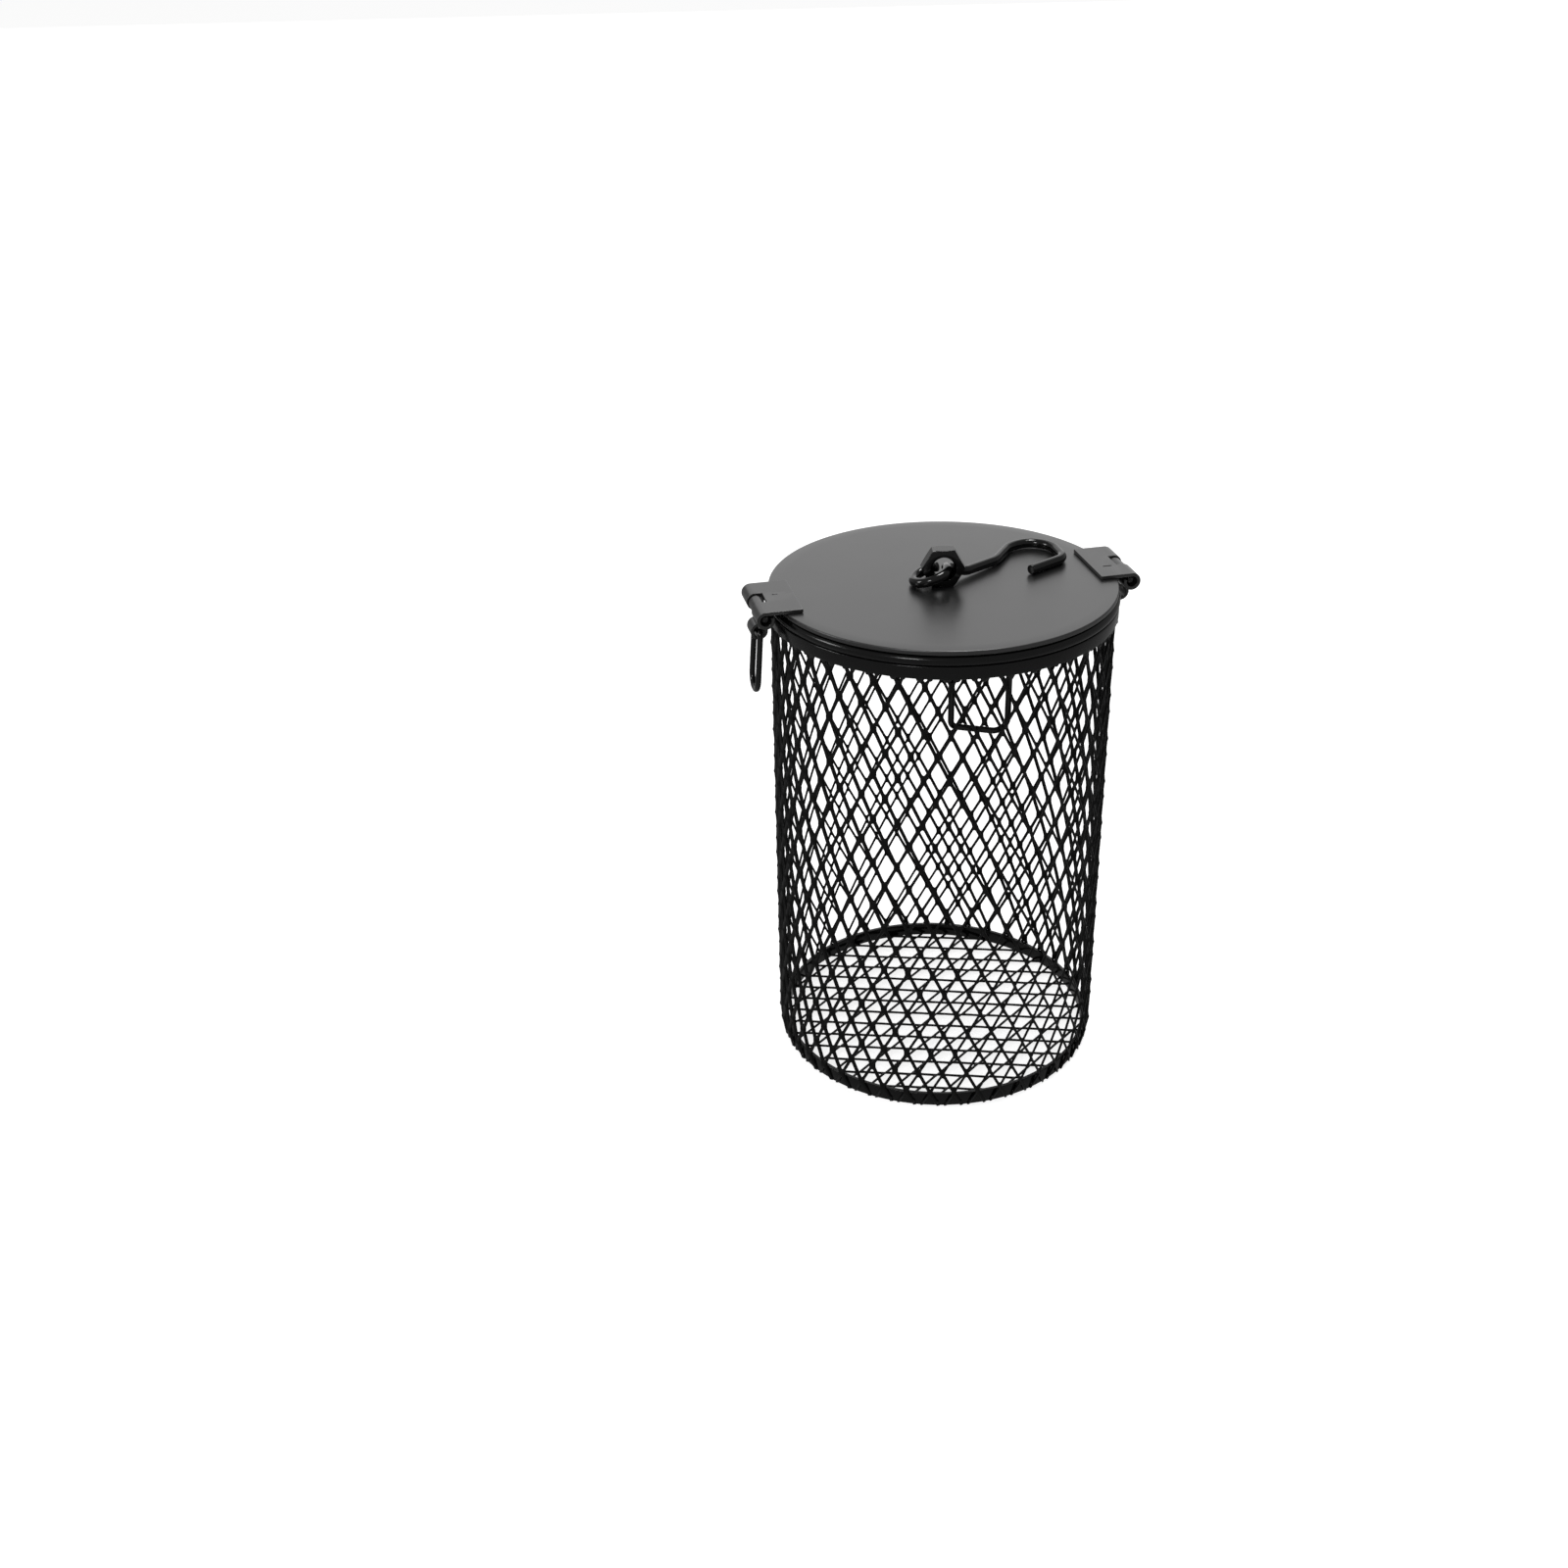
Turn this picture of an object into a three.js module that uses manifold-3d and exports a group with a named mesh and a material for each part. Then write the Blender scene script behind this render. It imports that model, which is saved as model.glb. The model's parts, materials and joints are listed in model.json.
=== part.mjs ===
// Small hanging live-catch cage: a rolled diamond-mesh wall and floor, a flat hinged lid with a
// snap clasp, and a wire hook linked through a nut on the lid.
// Millimetres, +Z up. Origin: on the wall's axis, on the surface that the cage stands on.
// +X points to the hinge, -X to the clasp.
import * as THREE from "three";
import Module from "manifold-3d";
import { mergeVertices } from "three/addons/utils/BufferGeometryUtils.js";

// ---------------------------------------------------------------- driving dimensions
const CAGE_HEIGHT = 105;          // floor to the top of the lid
const LID_RADIUS = 35;
const LID_THICK = 1.0;
const GAP = 0.3;                  // clearance where separate pieces meet

const WALL_OUTER = 34.95;
const WALL_THICK = 0.9;
const WALL_BOTTOM = 1.2;
const WALL_COLUMNS = 24;          // diamonds round the wall, at twice the real pitch
const WALL_ROWS = 5;
const STRAND = 1.3;               // width of a strand of the coarse mesh
const SELVAGE = 0.9;              // solid edge strip that closes the mesh

const COLLAR_OUTER = 35.2;
const COLLAR_THICK = 0.9;
const COLLAR_HEIGHT = 2.3;
const BEAD_WIRE = 1.05;           // radius of the round wire that stiffens the rim
const BEAD_RING = 34.3;
const SEAM = 0.2;                 // groove between lid, bead and collar

const FLOOR_RING_OUTER = 33.75;
const FLOOR_RING_THICK = 0.9;
const FLOOR_RING_HEIGHT = 2.9;
const FLOOR_THICK = 0.9;
const FLOOR_CELL = 9.6;           // short diagonal of a floor diamond
const FLOOR_CELL_RATIO = 1.9;     // long diagonal over short diagonal
const FLOOR_TURN = 10;            // degrees from +X to the long diagonal

const SHEET = 0.7;                // sheet that the leaves and the clip are curled from
const CURL_OUTER = 1.78;
const PIN_RADIUS = 0.7;
const PIN_INSET = 0.8;            // pin ends stand back from the knuckles' ends
const PIN_OFFSET = 37.2;          // pin axes, from the cage axis
const LEAF_WIDTH = 16;
const LEAF_INNER = 30.6;
const SLOT_WIDTH = 4.7;
const SLOT_ROOT = 35.9;           // the slot's end in the flat of the leaf
const CURL_ROOT = 34.8;           // and below it, in the curl
const STRIP_SHEET = 0.6;          // thinner sheet of the strips with the middle knuckle
const STRIP_CURL = 1.2;           // radius of the middle knuckle's middle line
const MIDDLE_KNUCKLE = 4.1;
const CLASP_PLACE = [-0.8, -1.0]; // the clasp sits this far out and along Y from the hinge's mirror image
const TAIL_DROP = 4.57;           // tail curl below the pin axis

const NUT_FLATS = 7.6;
const NUT_THICK = 3.2;
const NUT_HOLE = 2.2;             // radius
const NUT_YAW = -11;              // degrees
const NUT_CENTRE = [-0.6, -2.0];

const HOOK_WIRE = 1.0;            // radius
const HOOK_EYE = 3.3;             // mean radius of the eye
const EYE_SHIFT = 0.85;           // where the eye's wire passes the nut's hole, along the nut's face
const EYE_DROP = 0.55;            // and how far below the hole's centre
const HOOK_LIE = 1.05;            // wire centre above the lid where the hook lies on it

const LOOP_WIRE = 0.6;            // radius of the pull loop's and the bait loop's wire
const PULL_HALF_WIDTH = 3.15;
const PULL_TOP_HALF_WIDTH = 2.9;
const PULL_LEAN = 4;              // degrees that the hanging loop leans out from the wall
const PULL_DROP = 12.9;
const BAIT_HALF_WIDTH = 5.9;
const BAIT_DEPTH = 32.5;          // from the cage axis to the bait loop's plane
const BAIT_TURN = -4.2;           // degrees from -Y round to the loop's middle
const BAIT_BAR = [88.1, 85.8];    // levels of the bar's two ends

// ---------------------------------------------------------------- derived levels
const LID_BOTTOM = CAGE_HEIGHT - LID_THICK;
const BEAD_LEVEL = LID_BOTTOM - SEAM - BEAD_WIRE;
const COLLAR_TOP = BEAD_LEVEL - BEAD_WIRE - SEAM;
const COLLAR_BOTTOM = COLLAR_TOP - COLLAR_HEIGHT;
const WALL_TOP = COLLAR_BOTTOM - GAP;
const LEAF_BOTTOM = CAGE_HEIGHT + 0.02;
const PIN_LEVEL = LEAF_BOTTOM + SHEET - CURL_OUTER;
const CURL_CENTRE = CURL_OUTER - SHEET / 2;   // radius of a curl's middle line
const TAIL_LEVEL = PIN_LEVEL - TAIL_DROP;

const ROUND = 60;                 // facets of the large rings
const WIRE_SIDES = 10;

// ---------------------------------------------------------------- materials
const paint = (color, roughness = 0.5, metalness = 0.35) =>
  new THREE.MeshStandardMaterial({ color, roughness, metalness });
const PAINT_BODY = paint(0x1d1d1f);
const PAINT_MESH = paint(0x18181a, 0.55);
const PAINT_LID = paint(0x2a2a2d, 0.42);
const PAINT_FITTING = paint(0x232326, 0.45);
const BLACK_STEEL = paint(0x303033, 0.35, 0.8);

// ---------------------------------------------------------------- solids with booleans
const wasm = await Module();
wasm.setup();

function toSolid(geometry) {
  const bare = geometry.clone();
  bare.deleteAttribute("normal");
  bare.deleteAttribute("uv");
  const merged = mergeVertices(bare, 1e-4);
  return new wasm.Manifold(new wasm.Mesh({
    numProp: 3,
    vertProperties: new Float32Array(merged.attributes.position.array),
    triVerts: new Uint32Array(merged.index.array),
  }));
}

function toGeometry(solid) {
  const mesh = solid.getMesh();
  const geometry = new THREE.BufferGeometry();
  geometry.setAttribute("position", new THREE.BufferAttribute(mesh.vertProperties, 3));
  geometry.setIndex(new THREE.BufferAttribute(mesh.triVerts, 1));
  return geometry;
}

// ---------------------------------------------------------------- shared shapes
const polar = (radius, angle, z) =>
  new THREE.Vector3(radius * Math.cos(angle), radius * Math.sin(angle), z);

// A ring with the given half-section, a list of [radius, z] that closes on itself.
function turned(section, segments = ROUND) {
  const points = [...section, section[0]].map(([radius, z]) => new THREE.Vector2(radius, z));
  return new THREE.LatheGeometry(points, segments).rotateX(Math.PI / 2);
}

function band(inner, outer, bottom, top) {
  return turned([[inner, bottom], [outer, bottom], [outer, top], [inner, top]]);
}

// Outline of a strip of sheet whose middle line is the given list of [x, z] points.
function stripOutline(middle, thickness) {
  const sides = [[], []];
  middle.forEach(([x, z], i) => {
    const [ax, az] = middle[Math.max(i - 1, 0)];
    const [bx, bz] = middle[Math.min(i + 1, middle.length - 1)];
    const run = Math.hypot(bx - ax, bz - az);
    const nx = (-(bz - az) / run) * (thickness / 2);
    const nz = ((bx - ax) / run) * (thickness / 2);
    sides[0].push(new THREE.Vector2(x + nx, z + nz));
    sides[1].unshift(new THREE.Vector2(x - nx, z - nz));
  });
  return new THREE.Shape([...sides[0], ...sides[1]]);
}

// Points of an arc in the XZ plane, from one angle to another, in degrees.
function arcPoints(cx, cz, radius, from, to, count) {
  return Array.from({ length: count + 1 }, (_, i) => {
    const angle = THREE.MathUtils.degToRad(from + ((to - from) * i) / count);
    return [cx + radius * Math.cos(angle), cz + radius * Math.sin(angle)];
  });
}

// An XZ outline pulled along Y, centred on Y = 0.
function pulledAlongY(shape, width) {
  const geometry = new THREE.ExtrudeGeometry(shape, { depth: width, bevelEnabled: false });
  return geometry.rotateX(Math.PI / 2).translate(0, width / 2, 0);
}

// A wire's path: straight runs between corners, each corner [x, y, z, bendRadius] rounded by a
// quadratic bend that starts and ends one tangent length from the corner.
function bentPath(corners) {
  const points = corners.map(([x, y, z]) => new THREE.Vector3(x, y, z));
  const path = new THREE.CurvePath();
  let start = points[0];
  for (let i = 1; i < points.length - 1; i += 1) {
    const before = points[i - 1].clone().sub(points[i]).normalize();
    const after = points[i + 1].clone().sub(points[i]).normalize();
    const halfTurn = (Math.PI - before.angleTo(after)) / 2;
    const reach = corners[i][3] * Math.tan(halfTurn);
    const enter = points[i].clone().addScaledVector(before, reach);
    const leave = points[i].clone().addScaledVector(after, reach);
    const weight = 0.55;            // pull of the two handles, close to a true arc
    path.add(new THREE.LineCurve3(start, enter));
    path.add(new THREE.CubicBezierCurve3(
      enter,
      enter.clone().lerp(points[i], weight),
      leave.clone().lerp(points[i], weight),
      leave,
    ));
    start = leave;
  }
  path.add(new THREE.LineCurve3(start, points.at(-1)));
  return path;
}

function wire(path, radius, steps, sides = WIRE_SIDES) {
  const section = new THREE.Shape(Array.from({ length: sides }, (_, i) => {
    const angle = ((i + 0.5) * 2 * Math.PI) / sides;
    return new THREE.Vector2(radius * Math.cos(angle), radius * Math.sin(angle));
  }));
  return new THREE.ExtrudeGeometry(section, { steps, extrudePath: path, bevelEnabled: false });
}

// ---------------------------------------------------------------- cage
// Wall of diamond cells. A cell's four corners are pulled in by half a strand; the metal left
// between neighbouring cells is one quad to a strand and one to a crossing, outside and inside.
function diamondWall() {
  const pitch = (2 * Math.PI) / WALL_COLUMNS;
  const low = WALL_BOTTOM + SELVAGE;
  const high = WALL_TOP - SELVAGE;
  const cellHeight = (high - low) / WALL_ROWS;
  const halfRows = 2 * WALL_ROWS;
  const insetAngle = STRAND / WALL_OUTER;
  const insetHeight = insetAngle * (cellHeight / pitch);
  const position = [];
  const index = [];
  const vertex = (angle, z) => {
    const outer = polar(WALL_OUTER, angle, z);
    const inner = polar(WALL_OUTER - WALL_THICK, angle, z);
    position.push(outer.x, outer.y, outer.z, inner.x, inner.y, inner.z);
    return position.length / 3 - 2;
  };
  const triangle = (a, b, c) => {
    index.push(a, b, c, a + 1, c + 1, b + 1);
  };
  const face = (corners) => {
    for (let i = 1; i < corners.length - 1; i += 1) triangle(corners[0], corners[i], corners[i + 1]);
  };
  // Side wall along an outline edge that has the metal on its left, seen from outside.
  const edge = (a, b) => {
    index.push(b, a, a + 1, b, a + 1, b + 1);
  };
  const cells = Array.from({ length: halfRows + 1 }, (_, row) =>
    Array.from({ length: WALL_COLUMNS }, (_, column) => {
      const middle = (column + (row % 2) / 2) * pitch;
      const z = low + (row * cellHeight) / 2;
      return {
        left: vertex(middle - (pitch - insetAngle) / 2, z),
        right: vertex(middle + (pitch - insetAngle) / 2, z),
        top: row < halfRows ? vertex(middle, z + (cellHeight - insetHeight) / 2) : null,
        bottom: row > 0 ? vertex(middle, z - (cellHeight - insetHeight) / 2) : null,
      };
    }));
  const cell = (row, column) => cells[row][(column + WALL_COLUMNS) % WALL_COLUMNS];
  for (let row = 0; row <= halfRows; row += 1) {
    for (let column = 0; column < WALL_COLUMNS; column += 1) {
      const here = cell(row, column);
      const next = cell(row, column + 1);
      const upRight = row < halfRows ? cell(row + 1, column + (row % 2)) : null;
      const downRight = row > 0 ? cell(row - 1, column + (row % 2)) : null;
      // crossing between this cell and the next in the row
      face([here.right, downRight?.top, next.left, upRight?.bottom].filter((v) => v != null));
      if (upRight) {
        face([here.top, here.right, upRight.bottom, upRight.left]);
        edge(here.top, here.right);
        edge(upRight.bottom, upRight.left);
      }
      if (downRight) {
        face([downRight.left, downRight.top, here.right, here.bottom]);
        edge(here.right, here.bottom);
        edge(downRight.left, downRight.top);
      }
    }
  }
  // edge strips
  for (const [row, z, up] of [[0, WALL_BOTTOM, false], [halfRows, WALL_TOP, true]]) {
    const rim = cells[row].map(({ left, right }) => {
      const angleOf = (v) => Math.atan2(position[3 * v + 1], position[3 * v]);
      return [vertex(angleOf(left), z), vertex(angleOf(right), z)];
    });
    for (let column = 0; column < WALL_COLUMNS; column += 1) {
      const { left, right } = cells[row][column];
      const nextLeft = cells[row][(column + 1) % WALL_COLUMNS].left;
      const [a, b] = rim[column];
      const [c] = rim[(column + 1) % WALL_COLUMNS];
      const quads = [[a, b, right, left], [b, c, nextLeft, right]];
      quads.forEach((quad) => face(up ? [...quad].reverse() : quad));
      const outline = [[right, left], [a, b], [b, c]];
      outline.forEach(([from, to]) => (up ? edge(to, from) : edge(from, to)));
    }
  }
  const geometry = new THREE.BufferGeometry();
  geometry.setAttribute("position", new THREE.BufferAttribute(new Float32Array(position), 3));
  geometry.setIndex(index);
  return geometry;
}

// Floor: a disc with every whole diamond cell of a turned lattice cut out of it.
function diamondFloor() {
  const radius = FLOOR_RING_OUTER - FLOOR_RING_THICK - GAP;
  const margin = 0.8;
  const reach = Math.ceil(radius / FLOOR_CELL) + 1;
  const halfLong = (FLOOR_CELL * FLOOR_CELL_RATIO) / 2;
  const inset = 1 - STRAND / FLOOR_CELL;
  const turn = THREE.MathUtils.degToRad(FLOOR_TURN);
  const corners = [[1, 0], [0, 1], [-1, 0], [0, -1]];
  let floor = toSolid(new THREE.CylinderGeometry(radius, radius, FLOOR_THICK, ROUND)
    .rotateX(Math.PI / 2).translate(0, 0, FLOOR_THICK / 2));
  for (let row = -reach; row <= reach; row += 1) {
    for (let column = -reach; column <= reach; column += 1) {
      const short = (column + Math.abs(row % 2) / 2 + 0.5) * FLOOR_CELL;
      const outline = corners.map(([a, b]) => new THREE.Vector2(
        (row + a * inset) * halfLong,
        short + (b * inset * FLOOR_CELL) / 2,
      ).rotateAround(new THREE.Vector2(), turn));
      if (outline.every((corner) => corner.length() < radius - margin)) {
        const cutter = new THREE.ExtrudeGeometry(new THREE.Shape(outline), {
          depth: 3 * FLOOR_THICK,
          bevelEnabled: false,
        }).translate(0, 0, -FLOOR_THICK);
        floor = floor.subtract(toSolid(cutter));
      }
    }
  }
  return toGeometry(floor);
}

function beadSection() {
  return arcPoints(BEAD_RING, BEAD_LEVEL, BEAD_WIRE, 0, 324, 9);
}

// U of wire inside the wall; its legs end behind the collar, and its bar slopes a little.
function baitLoopPath() {
  const top = COLLAR_TOP - 0.6;
  return bentPath([
    [-BAIT_HALF_WIDTH, -BAIT_DEPTH, top],
    [-BAIT_HALF_WIDTH, -BAIT_DEPTH, BAIT_BAR[0], 1.3],
    [BAIT_HALF_WIDTH, -BAIT_DEPTH, BAIT_BAR[1], 2.6],
    [BAIT_HALF_WIDTH, -BAIT_DEPTH, top],
  ]);
}

// ---------------------------------------------------------------- hinge and clasp
// side is +1 at the hinge and -1 at the clasp, which is made as the hinge's mirror image and then moved.
function lidLeaf(side, inner) {
  const middleZ = LEAF_BOTTOM + SHEET / 2;
  const middle = [
    [inner, middleZ],
    ...arcPoints(PIN_OFFSET, PIN_LEVEL, CURL_CENTRE, 90, -200, 20),
  ].map(([x, z]) => [side * x, z]);
  const whole = toSolid(pulledAlongY(stripOutline(middle, SHEET), LEAF_WIDTH));
  const reach = 6;
  const slot = (root, top) => toSolid(new THREE.BoxGeometry(reach, SLOT_WIDTH, reach)
    .translate(side * (root + reach / 2), 0, top - reach / 2));
  return toGeometry(whole
    .subtract(slot(SLOT_ROOT, LEAF_BOTTOM + 2 * SHEET))
    .subtract(slot(CURL_ROOT, LEAF_BOTTOM)));
}

// Middle knuckle, straight strip and outward tail curl: the cage's hinge leaf, and the clasp clip.
function curledStrip(side) {
  const tailCentre = PIN_OFFSET - STRIP_CURL + CURL_CENTRE;
  const middle = [
    ...arcPoints(PIN_OFFSET, PIN_LEVEL, STRIP_CURL, -110, 180, 20),
    ...arcPoints(tailCentre, TAIL_LEVEL, CURL_CENTRE, 180, 460, 20),
  ].map(([x, z]) => [side * x, z]);
  return pulledAlongY(stripOutline(middle, STRIP_SHEET), MIDDLE_KNUCKLE);
}

function pin(side) {
  return new THREE.CylinderGeometry(PIN_RADIUS, PIN_RADIUS, LEAF_WIDTH - 2 * PIN_INSET, 20)
    .translate(side * PIN_OFFSET, 0, PIN_LEVEL);
}

// Wire loop hanging in the clip's tail curl; its two ends meet inside the curl.
function pullLoopPath() {
  const lean = THREE.MathUtils.degToRad(PULL_LEAN);
  const top = -(PIN_OFFSET - STRIP_CURL + CURL_CENTRE);
  const place = (y, drop, bend) =>
    [top - drop * Math.sin(lean), y, TAIL_LEVEL - drop * Math.cos(lean), bend];
  const half = PULL_HALF_WIDTH;
  const topHalf = PULL_TOP_HALF_WIDTH;
  return bentPath([
    place(-0.15, 0),
    place(-topHalf, 0, 0.8),
    place(-half, PULL_DROP, half * 0.9),
    place(half, PULL_DROP, half * 0.9),
    place(topHalf, 0, 0.8),
    place(0.15, 0),
  ]);
}

// ---------------------------------------------------------------- nut and hook
function nutGeometry() {
  const corner = NUT_FLATS / Math.sqrt(3);
  const hexagon = new THREE.Shape(Array.from({ length: 6 }, (_, i) => {
    const angle = (i * Math.PI) / 3;
    return new THREE.Vector2(corner * Math.cos(angle), corner * Math.sin(angle));
  }));
  hexagon.holes.push(new THREE.Path().absarc(0, 0, NUT_HOLE, 0, 2 * Math.PI, true));
  return pulledAlongY(hexagon, NUT_THICK);
}

// The eye's plane rises from the lid at its far side to the nut's hole.
function hookPath() {
  const yaw = THREE.MathUtils.degToRad(NUT_YAW);
  const holeLevel = CAGE_HEIGHT + NUT_FLATS / 2 - EYE_DROP;
  const lieLevel = CAGE_HEIGHT + HOOK_LIE;
  const rise = (holeLevel - lieLevel) / (2 * HOOK_EYE);
  // along: across the nut's face; through: along the nut's hole
  const place = (along, through, z) => [
    NUT_CENTRE[0] + along * Math.cos(yaw) - through * Math.sin(yaw),
    NUT_CENTRE[1] + along * Math.sin(yaw) + through * Math.cos(yaw),
    z,
  ];
  const eye = [];
  for (let degrees = 62; degrees <= 360; degrees += 14.9) {
    const angle = THREE.MathUtils.degToRad(degrees);
    const along = EYE_SHIFT - HOOK_EYE + HOOK_EYE * Math.cos(angle);
    const z = lieLevel + rise * HOOK_EYE * (1 + Math.cos(angle));
    eye.push(new THREE.Vector3(...place(along, HOOK_EYE * Math.sin(angle), z)));
  }
  const path = new THREE.CurvePath();
  path.add(new THREE.CatmullRomCurve3(eye));
  const shank = bentPath([
    eye.at(-1).toArray(),
    [...place(EYE_SHIFT, 3.1, holeLevel - 0.5), 1.7],
    [4.8, 0.5, lieLevel + 0.3, 3],
    [12.8, 5.4, lieLevel, 6],
    [18.9, 13.6, lieLevel, 6],
    [26.8, 12.4, lieLevel, 5.2],
    [26.6, 2.9, lieLevel, 3],
    [18.1, -1.5, lieLevel],
  ]);
  shank.curves.forEach((curve) => path.add(curve));
  return path;
}

// ---------------------------------------------------------------- assembly
const cage = new THREE.Group();

function addPart(name, geometry, material, parent = cage) {
  const mesh = new THREE.Mesh(geometry, material);
  mesh.name = name;
  parent.add(mesh);
  return mesh;
}

const basket = new THREE.Group();
addPart("mesh_wall", diamondWall(), PAINT_MESH, basket);
addPart("bottom_mesh", diamondFloor(), PAINT_MESH, basket);
addPart("bottom_ring", band(
  FLOOR_RING_OUTER - FLOOR_RING_THICK,
  FLOOR_RING_OUTER,
  0,
  FLOOR_RING_HEIGHT,
), PAINT_BODY, basket);
addPart("collar_band", band(
  COLLAR_OUTER - COLLAR_THICK,
  COLLAR_OUTER,
  COLLAR_BOTTOM,
  COLLAR_TOP,
), PAINT_BODY, basket);
addPart("rim_bead", turned(beadSection()), PAINT_BODY, basket);
addPart("bait_loop", wire(baitLoopPath(), LOOP_WIRE, 36, 8), BLACK_STEEL, basket)
  .rotation.z = THREE.MathUtils.degToRad(BAIT_TURN);
addPart("cage_hinge_leaf", curledStrip(1), PAINT_FITTING, basket);
addPart("hinge_pin", pin(1), BLACK_STEEL, basket);
cage.add(basket);

const lid = new THREE.Group();
addPart("lid_disc", new THREE.CylinderGeometry(LID_RADIUS, LID_RADIUS, LID_THICK, ROUND)
  .rotateX(Math.PI / 2).translate(0, 0, CAGE_HEIGHT - LID_THICK / 2), PAINT_LID, lid);
addPart("lid_hinge_leaf", lidLeaf(1, LEAF_INNER), PAINT_FITTING, lid);
const claspSeat = new THREE.Group();
claspSeat.position.set(...CLASP_PLACE, 0);
addPart("lid_clasp_leaf", lidLeaf(-1, LEAF_INNER + CLASP_PLACE[0]), PAINT_FITTING, claspSeat);
addPart("clasp_pin", pin(-1), BLACK_STEEL, claspSeat);
lid.add(claspSeat);
const nut = addPart("hook_nut", nutGeometry(), BLACK_STEEL, lid);
nut.position.set(...NUT_CENTRE, CAGE_HEIGHT + 0.02 + NUT_FLATS / 2);
nut.rotation.z = THREE.MathUtils.degToRad(NUT_YAW);
addPart("hanging_hook", wire(hookPath(), HOOK_WIRE, 80), BLACK_STEEL, lid);
cage.add(lid);

const clasp = new THREE.Group();
clasp.position.set(...CLASP_PLACE, 0);
addPart("clasp_clip", curledStrip(-1), PAINT_FITTING, clasp);
addPart("pull_loop", wire(pullLoopPath(), LOOP_WIRE, 60, 8), BLACK_STEEL, clasp);
cage.add(clasp);

export default cage;
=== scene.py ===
"""Looks of a small hanging live-catch cage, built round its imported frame.

Every length inside the classes is in millimetres and becomes metres when a mesh is made.
+Z is up, +X points to the lid's hinge and -X to its clasp.
"""

import json
import logging
import math
from collections.abc import Sequence
from dataclasses import dataclass
from enum import Enum

import bmesh
import bpy
import numpy as np
from mathutils import Matrix, Vector


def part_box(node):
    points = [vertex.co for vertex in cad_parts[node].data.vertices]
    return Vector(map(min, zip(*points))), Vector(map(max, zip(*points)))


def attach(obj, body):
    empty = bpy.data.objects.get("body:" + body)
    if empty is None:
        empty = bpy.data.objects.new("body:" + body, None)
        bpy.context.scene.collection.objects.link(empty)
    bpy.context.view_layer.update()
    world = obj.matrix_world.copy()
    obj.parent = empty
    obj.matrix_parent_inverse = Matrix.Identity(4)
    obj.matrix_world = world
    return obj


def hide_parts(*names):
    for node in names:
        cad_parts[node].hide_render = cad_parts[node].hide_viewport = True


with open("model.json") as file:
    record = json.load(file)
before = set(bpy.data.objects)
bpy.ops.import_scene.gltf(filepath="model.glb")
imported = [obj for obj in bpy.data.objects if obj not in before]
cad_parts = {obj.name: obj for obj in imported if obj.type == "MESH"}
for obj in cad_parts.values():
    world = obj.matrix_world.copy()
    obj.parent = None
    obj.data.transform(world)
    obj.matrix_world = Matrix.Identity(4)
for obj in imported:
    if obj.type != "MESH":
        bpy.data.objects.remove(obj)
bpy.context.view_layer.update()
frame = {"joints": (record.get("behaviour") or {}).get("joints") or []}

MM = 0.001
MERGE = 0.001  # points of a mesh nearer than this, in millimetres, become one

log = logging.getLogger("live_catch_cage")


class Body(Enum):
    """The moving bodies of the frame."""

    CAGE = "cage"
    LID = "lid"
    CLASP = "clasp"
    PULL_LOOP = "pull_loop"
    HOOK = "hook"


class Slot(Enum):
    """The record's material slots."""

    MESH = "mesh_paint"
    BODY = "body_paint"
    LID = "lid_paint"
    FITTING = "fitting_paint"
    WIRE = "wire_paint"


def node_box(node: str) -> tuple[np.ndarray, np.ndarray]:
    """Lowest and highest corner of a frame node, in millimetres.

    Args:
        node: The node's name.

    Returns:
        Two arrays of three numbers.
    """
    low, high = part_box(node)
    return np.array(low) / MM, np.array(high) / MM


def joint_place(name: str) -> np.ndarray:
    """A point on a joint's axis, in millimetres.

    Args:
        name: The joint's name.

    Returns:
        An array of three numbers.
    """
    found = next(joint for joint in frame["joints"] if joint["name"] == name)
    return np.array(found["pos_m"]) / MM


# ---------------------------------------------------------------- shader nodes


class Value:
    """An output of a shader node that can be used in sums."""

    def __init__(self, bench: "Bench", socket: bpy.types.NodeSocket) -> None:
        """Keeps the socket and the bench that it was made on."""
        self.bench = bench
        self.socket = socket

    def _sum(self, operation: str, first: "Value | float", second: "Value | float") -> "Value":
        """One Math node.

        Args:
            operation: The Math node's operation.
            first: Its first value.
            second: Its second value.

        Returns:
            The node's output.
        """
        return self.bench.node("ShaderNodeMath", {"operation": operation}, {0: first, 1: second})

    def __add__(self, other: "Value | float") -> "Value":
        """Sum."""
        return self._sum("ADD", self, other)

    def __radd__(self, other: float) -> "Value":
        """Sum with a number on the left."""
        return self._sum("ADD", other, self)

    def __sub__(self, other: "Value | float") -> "Value":
        """Difference."""
        return self._sum("SUBTRACT", self, other)

    def __rsub__(self, other: float) -> "Value":
        """Difference from a number."""
        return self._sum("SUBTRACT", other, self)

    def __mul__(self, other: "Value | float") -> "Value":
        """Product."""
        return self._sum("MULTIPLY", self, other)

    def __rmul__(self, other: float) -> "Value":
        """Product with a number on the left."""
        return self._sum("MULTIPLY", other, self)


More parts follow.
